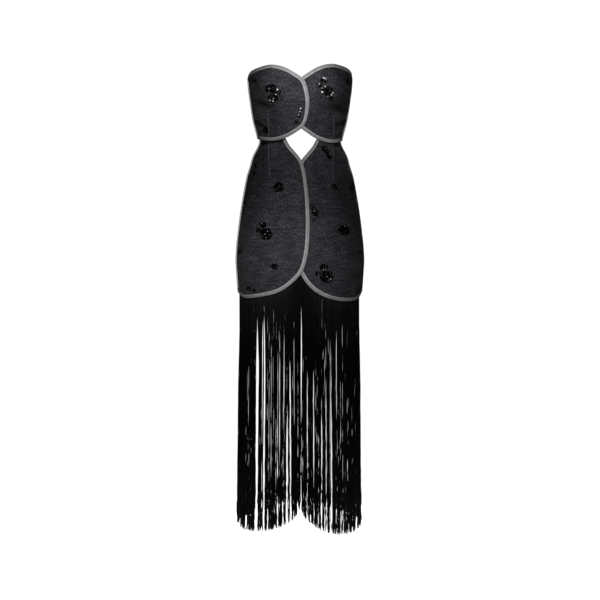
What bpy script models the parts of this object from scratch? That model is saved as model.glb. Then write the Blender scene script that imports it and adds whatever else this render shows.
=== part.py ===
"""Strapless maxi dress of bound denim petals, with a long fringe below the hem.

The dress keeps the hollow form it has when worn, with no wearer inside.
Frame: metres, +Z up, the front faces -Y and +X is the wearer's left.
Origin: the middle of the waist, where the wearer carries the dress.
"""
import math
from collections import namedtuple

import bmesh
import bpy
from mathutils import Vector

# ---------------------------------------------------------------- driving dimensions (metres)
CLOTH = 0.0012              # thickness of the denim
TAPE = 0.0010               # thickness of the binding tape
TAPE_WIDTH = 0.0100         # how far the tape reaches in from an edge
SEAM_GAP = 0.0003           # between two pieces that meet
PETAL_LIFT = 0.0044         # the upper petal over the lower one, at the centre line
LIFT_ANGLES = (-68.0, -26.0)    # degrees from the centre line: no lift, full lift
WAIST_TUCK = 0.0050         # the skirt's top, inside the bodice's lower edge
TUCK_HEIGHTS = (-0.058, -0.012)  # the tuck starts, and is complete
WAIST_LAP = 0.0075          # the skirt's cut top above the bodice's lower edge
SEAM_TAPE_WIDTH = 0.0104    # the tape over each side seam
SEAM_TAPE_THICKNESS = 0.0023
SEAM_TAPE_CLEARANCE = 0.0005    # between that tape and the panels under it
FRINGE_LENGTH = 0.652       # from the hem's lower edge to a strand's end
FRINGE_STRANDS = 48         # in each of the four fringes
FRINGE_STRIP_TOP = 0.0120   # the strip that carries the strands, above the hem's edge
FRINGE_STRIP_BOTTOM = 0.0025
FRINGE_STRIP_THICKNESS = 0.0014
FRINGE_CLEARANCE = 0.0008   # between the strip and the tape's inner leg
FRINGE_SEAM_CLEARANCE = 0.0006  # between a strip's end and the side seam
FRINGE_ENDS = {"over": -6.5, "under": 3.0}  # degrees from the centre line, for each petal
STRAND_ROOT_SHARE = 0.60    # of a strand's pitch
STRAND_TIP_SCALE = 0.62     # a tip's width, against its root
FRINGE_FLARE = 1.045        # the fringe's spread at its ends, against its roots

BODY_POWER = 2.2            # 2 is an ellipse, more is squarer
BUST_X = 0.070
BUST_Z = 0.116
BUST_RISE = 0.024
BUST_SPREAD_X = 0.040
BUST_SPREAD_Z = 0.048

# The form at each level.
#   height, half width, depth of the front, depth of the back
FORM = (
    (-0.450, 0.1660, 0.1180, 0.1210),
    (-0.418, 0.1720, 0.1200, 0.1250),
    (-0.372, 0.1752, 0.1220, 0.1270),
    (-0.335, 0.1772, 0.1220, 0.1280),
    (-0.300, 0.1756, 0.1210, 0.1290),
    (-0.250, 0.1702, 0.1190, 0.1310),
    (-0.200, 0.1636, 0.1150, 0.1310),
    (-0.150, 0.1552, 0.1100, 0.1270),
    (-0.104, 0.1462, 0.1030, 0.1170),
    (-0.070, 0.1358, 0.0960, 0.1060),
    (-0.040, 0.1278, 0.0915, 0.0960),
    (-0.020, 0.1205, 0.0885, 0.0905),
    (-0.002, 0.1148, 0.0860, 0.0870),
    (0.020, 0.1196, 0.0860, 0.0875),
    (0.050, 0.1275, 0.0885, 0.0900),
    (0.080, 0.1328, 0.0915, 0.0935),
    (0.110, 0.1370, 0.0960, 0.0970),
    (0.140, 0.1408, 0.1000, 0.0990),
    (0.165, 0.1424, 0.1010, 0.1000),
    (0.215, 0.1430, 0.1000, 0.1000),
)

# The finished edge of each petal, from its first corner round to its last one.
#   angle from the centre line in degrees (minus: towards the side seam, plus: past the centre),
#   height, how much higher that point is on the wearer's left petal
CUP_FRONT = (
    (-90.0, 0.1760, 0.0000),
    (-76.0, 0.1845, 0.0035),
    (-62.0, 0.1920, 0.0045),
    (-44.0, 0.1980, 0.0035),
    (-26.0, 0.1910, 0.0025),
    (-10.0, 0.1755, 0.0010),
    (3.0, 0.1585, 0.0000),
    (9.5, 0.1320, 0.0000),
    (12.7, 0.0980, 0.0000),
    (11.3, 0.0640, 0.0000),
    (5.0, 0.0360, 0.0000),
    (-10.0, 0.0165, 0.0000),
    (-30.0, 0.0000, -0.0020),
    (-50.0, -0.0055, -0.0050),
    (-72.0, -0.0015, -0.0050),
    (-90.0, 0.0030, -0.0040),
)
CUP_BACK = (
    (-90.0, 0.1760, 0.0000),
    (-75.0, 0.1800, 0.0000),
    (-60.0, 0.1825, 0.0000),
    (-42.0, 0.1820, 0.0000),
    (-24.0, 0.1760, 0.0000),
    (-8.0, 0.1650, 0.0000),
    (4.0, 0.1480, 0.0000),
    (10.0, 0.1250, 0.0000),
    (12.4, 0.0980, 0.0000),
    (11.0, 0.0730, 0.0000),
    (4.0, 0.0510, 0.0000),
    (-10.0, 0.0345, 0.0000),
    (-30.0, 0.0190, 0.0000),
    (-50.0, 0.0095, 0.0000),
    (-72.0, 0.0045, -0.0020),
    (-90.0, 0.0030, -0.0040),
)
SKIRT_FRONT = (
    (-30.0, 0.0075, -0.0020),
    (-20.0, -0.0170, -0.0020),
    (-9.5, -0.0365, -0.0020),
    (0.0, -0.0580, 0.0000),
    (5.0, -0.0840, 0.0000),
    (8.5, -0.1330, 0.0000),
    (10.3, -0.1900, 0.0000),
    (10.2, -0.2500, 0.0000),
    (8.0, -0.3050, -0.0030),
    (2.0, -0.3540, -0.0080),
    (-11.0, -0.3880, -0.0140),
    (-28.0, -0.4140, -0.0130),
    (-48.0, -0.4280, -0.0130),
    (-68.0, -0.4350, -0.0070),
    (-80.0, -0.4300, -0.0010),
    (-90.0, -0.4210, 0.0000),
)
SKIRT_BACK = (
    (-38.0, 0.0220, 0.0000),
    (-27.0, -0.0160, 0.0000),
    (-14.0, -0.0420, 0.0000),
    (-2.0, -0.0680, 0.0000),
    (5.0, -0.1000, 0.0000),
    (9.0, -0.1450, 0.0000),
    (10.3, -0.1950, 0.0000),
    (10.2, -0.2500, 0.0000),
    (8.0, -0.3050, 0.0000),
    (2.0, -0.3560, 0.0000),
    (-11.0, -0.3930, 0.0000),
    (-28.0, -0.4140, 0.0000),
    (-48.0, -0.4240, 0.0000),
    (-68.0, -0.4270, 0.0000),
    (-80.0, -0.4255, 0.0000),
    (-90.0, -0.4210, 0.0000),
)

# Where the fringe parts: angle from the centre front in degrees, width of the gap at the ends.
PARTINGS = (
    (-48.0, 0.0070),
    (-24.0, 0.0040),
    (-3.0, 0.0045),
    (21.0, 0.0045),
    (43.0, 0.0075),
    (74.0, 0.0040),
    (118.0, 0.0060),
    (152.0, 0.0050),
    (-166.0, 0.0060),
    (-128.0, 0.0060),
    (-98.0, 0.0040),
)
PARTING_REACH = 7.0         # degrees over which the strands beside a gap lean

CUP_MIDDLE = 0.090          # a cup's rows below this height are its lower edge

Petal = namedtuple("Petal", "garment face side edge waist over flat_radius edge_steps")

CUP_FLAT_RADIUS = 0.100     # turns an angle into a width when a petal is drawn flat
SKIRT_FLAT_RADIUS = 0.116
CUP_STEPS = 28
SKIRT_STEPS = 36
SEAM_STEP = 0.020
CORNER_STEP = 0.0075        # a petal's first and last stretch of edge, beside its corners
CORNER_SETBACK = 0.0050     # of the ring inside the tape, along edges that carry no tape
RING_SCALES = (0.68, 0.36)
SPLINE_STEPS = 16

DENIM = ("denim", (0.026, 0.025, 0.031, 1.0), 0.85)
BINDING = ("binding", (0.175, 0.172, 0.180, 1.0), 0.80)
FRINGE = ("fringe", (0.005, 0.005, 0.005, 1.0), 0.60)


# ---------------------------------------------------------------- the body's surface
def smooth_step(low, high, value):
    """Rise smoothly from 0 at low to 1 at high."""
    share = min(max((value - low) / (high - low), 0.0), 1.0)
    return share * share * (3.0 - 2.0 * share)


def column_slopes(column):
    """Slopes at the form's rows that keep its profile free of overshoot."""
    slopes = []
    steps = []
    for lower, upper in zip(FORM, FORM[1:]):
        steps.append((upper[column] - lower[column]) / (upper[0] - lower[0]))
    slopes.append(steps[0])
    for before, after in zip(steps, steps[1:]):
        flat = before * after <= 0.0
        slopes.append(0.0 if flat else 2.0 * before * after / (before + after))
    slopes.append(steps[-1])
    return slopes


FORM_SLOPES = {column: column_slopes(column) for column in (1, 2, 3)}


def form_value(column, z):
    """Smooth profile of the form through the rows of FORM."""
    row = 0
    while row < len(FORM) - 2 and z > FORM[row + 1][0]:
        row += 1
    lower, upper = FORM[row], FORM[row + 1]
    span = upper[0] - lower[0]
    t = (z - lower[0]) / span
    rise = FORM_SLOPES[column][row] * span
    run = FORM_SLOPES[column][row + 1] * span
    return ((2 * t ** 3 - 3 * t ** 2 + 1) * lower[column] + (t ** 3 - 2 * t ** 2 + t) * rise
            + (3 * t ** 2 - 2 * t ** 3) * upper[column] + (t ** 3 - t ** 2) * run)


def form_point(theta, z):
    """Point of the worn form. theta: degrees from the centre front, plus to the wearer's left."""
    across = math.sin(math.radians(theta))
    ahead = math.cos(math.radians(theta))
    half_width = form_value(1, z)
    depth = form_value(2 if ahead > 0.0 else 3, z)
    scaled = (abs(ahead) / depth) ** BODY_POWER + (abs(across) / half_width) ** BODY_POWER
    radius = scaled ** (-1.0 / BODY_POWER)
    if ahead > 0.0:
        x = radius * across
        for side in (-1.0, 1.0):
            away = ((x - side * BUST_X) / BUST_SPREAD_X) ** 2 + ((z - BUST_Z) / BUST_SPREAD_Z) ** 2
            radius += BUST_RISE * math.exp(-away) * smooth_step(0.0, 0.4, ahead)
    return Vector((radius * across, -radius * ahead, z))


def form_normal(theta, z):
    """Outward unit normal of the worn form."""
    turn = form_point(theta + 0.2, z) - form_point(theta - 0.2, z)
    climb = form_point(theta, z + 0.0005) - form_point(theta, z - 0.0005)
    return turn.cross(climb).normalized()


# ---------------------------------------------------------------- petals drawn flat
def petal_theta(petal, reach):
    """Angle round the body of a point that is `reach` degrees from the petal's centre line."""
    if petal.face == "front":
        return reach if petal.side == "right" else -reach
    return -180.0 - reach if petal.side == "right" else 180.0 + reach


def petal_offset(petal, reach, z):
    """How far the petal's middle layer stands off the form."""
    lift = PETAL_LIFT * smooth_step(*LIFT_ANGLES, reach) if petal.over else 0.0
    if petal.garment == "bodice":
        return lift
    tuck = smooth_step(*TUCK_HEIGHTS, z)
    return lift * (1.0 - tuck) - WAIST_TUCK * tuck


def place(petal, flat, out=0.0):
    """Point on the worn form for a point of the flat petal, moved out by `out`."""
    reach = math.degrees(flat[0] / petal.flat_radius)
    z = flat[1]
    theta = petal_theta(petal, reach)
    offset = petal_offset(petal, reach, z) + out
    return form_point(theta, z) + form_normal(theta, z) * offset


def flat_rows(petal, rows):
    """Table rows as points of the flat petal."""
    left = petal.side == "left"
    points = []
    for reach, height, extra in rows:
        width = math.radians(reach) * petal.flat_radius
        points.append(Vector((width, height + (extra if left else 0.0))))
    return points


def spline(points):
    """Dense smooth curve through the points."""
    ends = [points[0] * 2.0 - points[1]] + points + [points[-1] * 2.0 - points[-2]]
    dense = []
    for i in range(1, len(ends) - 2):
        a, b, c, d = ends[i - 1:i + 3]
        for step in range(SPLINE_STEPS):
            t = step / SPLINE_STEPS
            dense.append(0.5 * (2 * b + (c - a) * t + (2 * a - 5 * b + 4 * c - d) * t ** 2
                                + (3 * b - a - 3 * c + d) * t ** 3))
    dense.append(points[-1])
    return dense


def resample(dense, steps):
    """Points at equal distances along a dense curve."""
    lengths = [0.0]
    for a, b in zip(dense, dense[1:]):
        lengths.append(lengths[-1] + (b - a).length)
    points = []
    span = 0
    for step in range(steps + 1):
        target = lengths[-1] * step / steps
        while span < len(dense) - 2 and lengths[span + 1] < target:
            span += 1
        share = (target - lengths[span]) / (lengths[span + 1] - lengths[span])
        points.append(dense[span].lerp(dense[span + 1], share))
    return points


def bound_edge(petal):
    """Finished edge of the petal that carries the tape, with a short stretch at each corner."""
    edge = resample(spline(flat_rows(petal, petal.edge)), petal.edge_steps)
    first = edge[0].lerp(edge[1], CORNER_STEP / (edge[1] - edge[0]).length)
    last = edge[-1].lerp(edge[-2], CORNER_STEP / (edge[-2] - edge[-1]).length)
    return edge[:1] + [first] + edge[1:-1] + [last] + edge[-1:]


def straight(start, end, step):
    """Inner points of a straight run, ends left out."""
    count = max(2, round((end - start).length / step))
    return [start.lerp(end, i / count) for i in range(1, count)]


def waist_edge(petal):
    """Cut top of a skirt petal, hidden inside the bodice, from the side seam inwards."""
    rows = [row for row in petal.waist if row[1] < CUP_MIDDLE and row[0] < petal.edge[0][0]]
    return [point + Vector((0.0, WAIST_LAP)) for point in flat_rows(petal, reversed(rows))]


def seam_tape_top(petal):
    """Height at which the tape over the petal's side seam ends."""
    if petal.waist is None:
        return bound_edge(petal)[0].y
    return flat_rows(petal, petal.waist)[-1].y - SEAM_GAP


def petal_loop(petal):
    """Closed outline of the flat petal, and how many of its edges are bound, seam and waist."""
    edge = bound_edge(petal)
    top = [] if petal.waist is None else waist_edge(petal)
    tape_end = Vector((edge[-1].x, seam_tape_top(petal)))
    seam = straight(edge[-1], tape_end, SEAM_STEP)
    if top:
        seam.append(tape_end)
    return edge + seam + top, (len(edge) - 1, len(seam) + 1, len(top))


def setbacks(counts, bound, seam, waist):
    """One set-back for each edge of an outline."""
    return [bound] * counts[0] + [seam] * counts[1] + [waist] * counts[2]


def set_back(points, distances):
    """Move a closed outline inwards, edge by edge."""
    count = len(points)
    area = sum(points[i].cross(points[(i + 1) % count]) for i in range(count))
    turn = 1.0 if area > 0.0 else -1.0
    normals = []
    for i in range(count):
        along = (points[(i + 1) % count] - points[i]).normalized()
        normals.append(Vector((-along.y, along.x)) * turn)
    moved = []
    for i in range(count):
        before, after = normals[i - 1], normals[i]
        near, far = distances[i - 1], distances[i]
        facing = before.dot(after)
        if facing > 0.94:
            middle = (before + after).normalized()
            moved.append(points[i] + middle * (near + far) / 2 / middle.dot(before))
            continue
        scale = 1.0 - facing ** 2
        shift = before * (near - far * facing) / scale + after * (far - near * facing) / scale
        moved.append(points[i] + shift)
    return moved


# ---------------------------------------------------------------- Blender helpers
def clear_scene():
    for item in list(bpy.data.objects):
        bpy.data.objects.remove(item, do_unlink=True)


def make_material(name, colour, roughness):
    material = bpy.data.materials.new(name)
    material.use_nodes = True
    shader = material.node_tree.nodes["Principled BSDF"]
    shader.inputs["Base Color"].default_value = colour
    shader.inputs["Roughness"].default_value = roughness
    shader.inputs["Metallic"].default_value = 0.0
    return material


def make_object(name, points, faces, material, collection):
    """Mesh object from points and faces, its faces turned to agree."""
    shape = bmesh.new()
    corners = [shape.verts.new(point) for point in points]
    for face in faces:
        shape.faces.new([corners[i] for i in face])
    bmesh.ops.recalc_face_normals(shape, faces=shape.faces)
    mesh = bpy.data.meshes.new(name)
    shape.to_mesh(mesh)
    shape.free()
    mesh.materials.append(material)
    item = bpy.data.objects.new(name, mesh)
    collection.objects.link(item)
    return item


def thicken(item, thickness):
    """Give an open surface a wall, half to each side of it."""
    wall = item.modifiers.new("wall", "SOLIDIFY")
    wall.thickness = thickness
    wall.offset = 0.0
    wall.use_even_offset = True


def halves(a, b, c, d):
    """Two triangles for a four-sided face, split from its first corner to its third."""
    return [(a, b, c), (a, c, d)]


def tape_faces(rows, columns):
    """Faces of a tape whose points are listed row by row.

    They are split the way a panel's rim is, so that the two lie flat on each other.
    """
    faces = []
    for i in range(rows - 1):
        for j in range(columns - 1):
            here = i * columns + j
            above = here + columns
            if j == 0:
                faces += halves(here + 1, above + 1, above, here)
            else:
                faces += halves(here, here + 1, above + 1, above)
    return faces


# ---------------------------------------------------------------- the pieces
def petal_name(petal):
    return "_".join((petal.garment, petal.face, petal.side))


def build_panel(petal, material, collection):
    """Denim petal: rings of points that shrink from its outline to its middle."""
    outline, counts = petal_loop(petal)
    count = len(outline)
    cut = setbacks(counts, TAPE + SEAM_GAP, SEAM_GAP / 2, 0.0)
    inside = setbacks(counts, TAPE_WIDTH + SEAM_GAP, CORNER_SETBACK, CORNER_SETBACK)
    inner = set_back(outline, inside)
    middle = sum(inner, Vector((0.0, 0.0))) / count
    rings = [set_back(outline, cut), inner]
    for scale in RING_SCALES:
        rings.append([middle.lerp(point, scale) for point in inner])
    points = [place(petal, flat) for ring in rings for flat in ring]
    points.append(place(petal, middle))
    faces = []
    for ring in range(len(rings) - 1):
        for i in range(count):
            after = (i + 1) % count
            outer, within = ring * count, (ring + 1) * count
            faces += halves(outer + i, outer + after, within + after, within + i)
    last = (len(rings) - 1) * count
    faces += [(last + i, last + (i + 1) % count, last + count) for i in range(count)]
    panel = make_object(petal_name(petal), points, faces, material, collection)
    thicken(panel, CLOTH)


def cut_short(run, end, beside, limit):
    """Move the end of a run of points along it, to the width `limit`."""
    share = (limit - run[end].x) / (run[beside].x - run[end].x)
    run[end] = run[end].lerp(run[beside], share)


def tape_sections(petal):
    """Edge points and inner points of the tape, cut short beside the side seams."""
    edge = bound_edge(petal)
    outline, _ = petal_loop(petal)
    inner = set_back(outline, [TAPE_WIDTH] * len(outline))[:len(edge)]
    for end, beside in ((0, 1), (-1, -2)):
        inner[end] = edge[end] + (inner[beside] - edge[beside])
        if petal.waist is not None and end == 0:
            continue
        kept_free = (SEAM_TAPE_WIDTH / 2 + 2 * SEAM_GAP) / form_value(1, edge[end].y)
        limit = (kept_free - math.pi / 2) * petal.flat_radius
        cut_short(edge, end, beside, limit)
        cut_short(inner, end, beside, limit)
    return edge, inner


def build_binding(petal, material, collection):
    """Tape folded over the petal's edge: one leg outside, one leg inside."""
    edge, inner = tape_sections(petal)
    leg = CLOTH / 2 + SEAM_GAP + TAPE / 2
    points = []
    for fold, reach in zip(edge, inner):
        lip = fold.lerp(reach, TAPE / 2 / TAPE_WIDTH)
        points += [place(petal, reach, leg), place(petal, lip, leg),
                   place(petal, lip, -leg), place(petal, reach, -leg)]
    faces = tape_faces(len(edge), 4)
    tape = make_object(petal_name(petal) + "_binding", points, faces, material, collection)
    thicken(tape, TAPE)


def build_seam_tape(petal, material, collection):
    """Flat tape over the side seam beside the petal."""
    outline, counts = petal_loop(petal)
    levels = [point.y for point in outline[counts[0]:counts[0] + counts[1]]]
    if petal.waist is None:
        levels.append(seam_tape_top(petal))
    middle = CLOTH / 2 + SEAM_TAPE_CLEARANCE + SEAM_TAPE_THICKNESS / 2
    seam = -90.0 if petal.side == "right" else 90.0
    points = []
    for z in levels:
        half = math.degrees(SEAM_TAPE_WIDTH / 2 / form_value(1, z))
        for turn in (-half, 0.0, half):
            out = petal_offset(petal, -90.0, z) + middle
            points.append(form_point(seam + turn, z) + form_normal(seam + turn, z) * out)
    name = f"{petal.garment}_side_tape_{petal.side}"
    tape = make_object(name, points, tape_faces(len(levels), 3), material, collection)
    thicken(tape, SEAM_TAPE_THICKNESS)


def hem_height(petal, reach):
    """Height of the hem's lower edge at an angle from the petal's centre line."""
    width = math.radians(reach) * petal.flat_radius
    hem = [point for point in reversed(spline(flat_rows(petal, petal.edge)))]
    for a, b in zip(hem, hem[1:]):
        if a.x <= width <= b.x:
            return a.y + (b.y - a.y) * (width - a.x) / (b.x - a.x)
    return hem[0].y


def strand_lean(theta):
    """Sideways shift of a strand's end, in metres, where the fringe parts."""
    lean = 0.0
    for centre, width in PARTINGS:
        away = (theta - centre + 180.0) % 360.0 - 180.0
        lean += math.copysign(width / 2, away) * math.exp(-abs(away) / PARTING_REACH)
    return lean


def build_fringe(petal, material, collection):
    """Strands fused at their roots into a narrow strip inside the hem."""
    start = -90.0 + math.degrees(FRINGE_SEAM_CLEARANCE / form_value(1, petal.edge[-1][1]))
    end = FRINGE_ENDS["over" if petal.over else "under"]
    inset = -(CLOTH / 2 + SEAM_GAP + TAPE + FRINGE_CLEARANCE + FRINGE_STRIP_THICKNESS / 2)
    half = FRINGE_STRIP_THICKNESS / 2
    pitch = (end - start) / FRINGE_STRANDS
    reaches = []
    for i in range(FRINGE_STRANDS):
        first = start + pitch * i
        reaches += [first, first + pitch * STRAND_ROOT_SHARE]

    points = []
    for reach in reaches:
        hem = hem_height(petal, reach)
        for height, out in ((FRINGE_STRIP_TOP, half), (FRINGE_STRIP_TOP, -half),
                            (FRINGE_STRIP_BOTTOM, -half), (FRINGE_STRIP_BOTTOM, half)):
            theta = petal_theta(petal, reach)
            offset = petal_offset(petal, reach, hem) + inset + out
            point = form_point(theta, hem) + form_normal(theta, hem) * offset
            point.z = hem + height
            points.append(point)

    faces = [(0, 1, 2, 3)]
    last = (len(reaches) - 1) * 4
    faces.append((last + 3, last + 2, last + 1, last))
    for i in range(len(reaches) - 1):
        here, there = i * 4, i * 4 + 4
        sides = (0, 1, 3) if i % 2 == 0 else (0, 1, 2, 3)
        for side in sides:
            beside = (side + 1) % 4
            faces.append((here + side, there + side, there + beside, here + beside))

    for i in range(0, len(reaches), 2):
        root = [i * 4 + 3, i * 4 + 2, i * 4 + 6, i * 4 + 7]
        reach = (reaches[i] + reaches[i + 1]) / 2
        theta = petal_theta(petal, reach)
        along = Vector((math.cos(math.radians(theta)), math.sin(math.radians(theta)), 0.0))
        centre = sum((points[corner] for corner in root), Vector()) / 4
        foot = Vector((centre.x * FRINGE_FLARE, centre.y * FRINGE_FLARE, 0.0))
        foot += along * strand_lean(theta)
        foot.z = hem_height(petal, reach) - FRINGE_LENGTH
        tip = []
        for corner in root:
            spread = (points[corner] - centre) * STRAND_TIP_SCALE
            tip.append(len(points))
            points.append(foot + Vector((spread.x, spread.y, 0.0)))
        faces.append(tuple(tip))
        for side in range(4):
            beside = (side + 1) % 4
            faces.append((root[side], root[beside], tip[beside], tip[side]))

    make_object(f"fringe_{petal.face}_{petal.side}", points, faces, material, collection)


def make_petals():
    petals = []
    for face, cup, skirt in (("front", CUP_FRONT, SKIRT_FRONT), ("back", CUP_BACK, SKIRT_BACK)):
        for side in ("right", "left"):
            over = side == ("right" if face == "front" else "left")
            petals.append(Petal("bodice", face, side, cup, None, over,
                                CUP_FLAT_RADIUS, CUP_STEPS))
            petals.append(Petal("skirt", face, side, skirt, cup, over,
                                SKIRT_FLAT_RADIUS, SKIRT_STEPS))
    return petals


def main():
    clear_scene()
    collection = bpy.data.collections.new("fringed_maxi_dress")
    bpy.context.scene.collection.children.link(collection)
    denim = make_material(*DENIM)
    binding = make_material(*BINDING)
    fringe = make_material(*FRINGE)
    for petal in make_petals():
        build_panel(petal, denim, collection)
        build_binding(petal, binding, collection)
        if petal.garment == "skirt":
            build_fringe(petal, fringe, collection)
        if petal.face == "front":
            build_seam_tape(petal, binding, collection)


main()
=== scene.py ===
"""Looks of the strapless maxi dress: bound denim petals, sequin flowers and a long fringe.

Frame: metres, +Z up, the front faces -Y and +X is the wearer's left. The origin is the
middle of the waist. The form and the outlines are the solids' own, drawn finer.
"""
import math
from collections import namedtuple

import bmesh
import bpy
import numpy as np
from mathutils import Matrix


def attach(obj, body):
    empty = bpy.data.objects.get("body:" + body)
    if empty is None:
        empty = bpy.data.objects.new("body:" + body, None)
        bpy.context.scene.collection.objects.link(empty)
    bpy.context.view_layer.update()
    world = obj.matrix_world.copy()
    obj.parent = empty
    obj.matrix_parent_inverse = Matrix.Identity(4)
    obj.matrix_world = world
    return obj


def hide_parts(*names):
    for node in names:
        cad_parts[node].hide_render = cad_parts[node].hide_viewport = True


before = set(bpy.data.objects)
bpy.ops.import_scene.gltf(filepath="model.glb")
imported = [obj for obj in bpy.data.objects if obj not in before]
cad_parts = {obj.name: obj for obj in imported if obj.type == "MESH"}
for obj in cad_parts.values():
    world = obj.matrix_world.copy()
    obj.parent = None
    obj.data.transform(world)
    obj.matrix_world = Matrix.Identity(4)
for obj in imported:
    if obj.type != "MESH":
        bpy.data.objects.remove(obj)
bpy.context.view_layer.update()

# ---- dimensions shared with the solids
CLOTH = 0.0012              # thickness of the denim
TAPE = 0.0010               # thickness of the binding tape's solid
TAPE_WIDTH = 0.0100         # how far the tape reaches in from an edge
SEAM_GAP = 0.0003           # between two pieces that meet
PETAL_LIFT = 0.0044         # the upper petal over the lower one, at the centre line
LIFT_ANGLES = (-68.0, -26.0)    # degrees from the centre line: no lift, full lift
WAIST_TUCK = 0.0050         # the skirt's top, inside the bodice's lower edge
TUCK_HEIGHTS = (-0.058, -0.012)     # no tuck, full tuck
WAIST_LAP = 0.0075          # the skirt's cut top above the bodice's lower edge
SEAM_TAPE_WIDTH = 0.0104    # the tape over each side seam
FRINGE_LENGTH = 0.652       # from the hem's lower edge to a strand's end
FRINGE_STRIP_TOP = 0.0120   # the strip that carries the strands, above the hem's edge
FRINGE_INSET = 0.0033       # from the panel's middle layer in to the strip's
FRINGE_ENDS = {"over": -4.6, "under": 4.4}  # degrees from the centre line, for each petal
FRINGE_SEAM_END = -89.75    # the first strand's angle, beside the side seam
FRINGE_FLARE = 1.045        # the fringe's spread at its ends, against its roots

BODY_POWER = 2.2            # 2 is an ellipse, more is squarer
BUST_X = 0.070              # the bust's two rounds: place, height, rise and spread
BUST_Z = 0.116
BUST_RISE = 0.024
BUST_SPREAD_X = 0.040
BUST_SPREAD_Z = 0.048


def metres(rows, kept=1):
    """Table rows in metres, from millimetres. kept: how many first numbers stay as they are."""
    return tuple(row[:kept] + tuple(number / 1000.0 for number in row[kept:]) for row in rows)


# The tables give angles in degrees and all lengths in millimetres.
# The form at each level: height, half width, depth of the front, depth of the back.
FORM = np.array((
    (-450, 166, 118, 121), (-418, 172, 120, 125), (-372, 175.2, 122, 127),
    (-335, 177.2, 122, 128), (-300, 175.6, 121, 129), (-250, 170.2, 119, 131),
    (-200, 163.6, 115, 131), (-150, 155.2, 110, 127), (-104, 146.2, 103, 117),
    (-70, 135.8, 96, 106), (-40, 127.8, 91.5, 96), (-20, 120.5, 88.5, 90.5),
    (-2, 114.8, 86, 87), (20, 119.6, 86, 87.5), (50, 127.5, 88.5, 90), (80, 132.8, 91.5, 93.5),
    (110, 137, 96, 97), (140, 140.8, 100, 99), (165, 142.4, 101, 100), (215, 143, 100, 100),
)) / 1000.0

# The finished edge of each petal, from its first corner round to its last one: angle from the
# centre line (minus: towards the side seam, plus: past the centre), height, how much higher
# that point is on the wearer's left petal.
CUP_FRONT = metres((
    (-90, 172, 0), (-76, 183.5, 3), (-62, 192, 4.5), (-44, 198, 3.5), (-26, 191, 2.5),
    (-10, 175.5, 1), (3, 158.5, 0), (9.5, 132, 0), (12.7, 98, 0), (11.3, 64, 0), (5, 36, 0),
    (-10, 16.5, 0), (-30, 0, -2), (-50, -5.5, -5), (-72, -1.5, -5), (-90, 3, -4),
))
CUP_BACK = metres((
    (-90, 172, 0), (-75, 179, 0), (-60, 182.5, 0), (-42, 182, 0), (-24, 176, 0), (-8, 165, 0),
    (4, 148, 0), (10, 125, 0), (12.4, 98, 0), (11, 73, 0), (4, 51, 0), (-10, 34.5, 0),
    (-30, 19, 0), (-50, 9.5, 0), (-72, 4.5, -2), (-90, 3, -4),
))
SKIRT_FRONT = metres((
    (-30, 7.5, -2), (-20, -17, -2), (-9.5, -36.5, -2), (0, -58, 0), (5, -84, 0), (8.5, -133, 0),
    (10.3, -190, 0), (10.2, -250, 0), (8, -305, -3), (2, -354, -8), (-11, -388, -14),
    (-28, -414, -13), (-48, -428, -13), (-68, -435, -7), (-80, -430, -1), (-90, -421, 0),
))
SKIRT_BACK = metres((
    (-38, 22, 0), (-27, -16, 0), (-14, -42, 0), (-2, -68, 0), (5, -100, 0), (9, -145, 0),
    (10.3, -195, 0), (10.2, -250, 0), (8, -305, 0), (2, -356, 0), (-11, -393, 0),
    (-28, -414, 0), (-48, -424, 0), (-68, -427, 0), (-80, -425.5, 0), (-90, -421, 0),
))
CUP_MIDDLE = 0.090          # a cup's rows below this height are its lower edge
CUP_FLAT_RADIUS = 0.100     # turns an angle into a width when a petal is drawn flat
SKIRT_FLAT_RADIUS = 0.116
SPLINE_STEPS = 16

# ---- the cloth's own details
CUP_STEPS = 170             # stretches of the bound edge
SKIRT_STEPS = 260
SEAM_STEP = 0.0045          # between points of a seam or a cut top
CUP_RINGS = 24              # from a panel's outline to its middle
SKIRT_RINGS = 56
RING_SPREAD = 1.3           # more than 1 sets the outer rings closer

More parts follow.
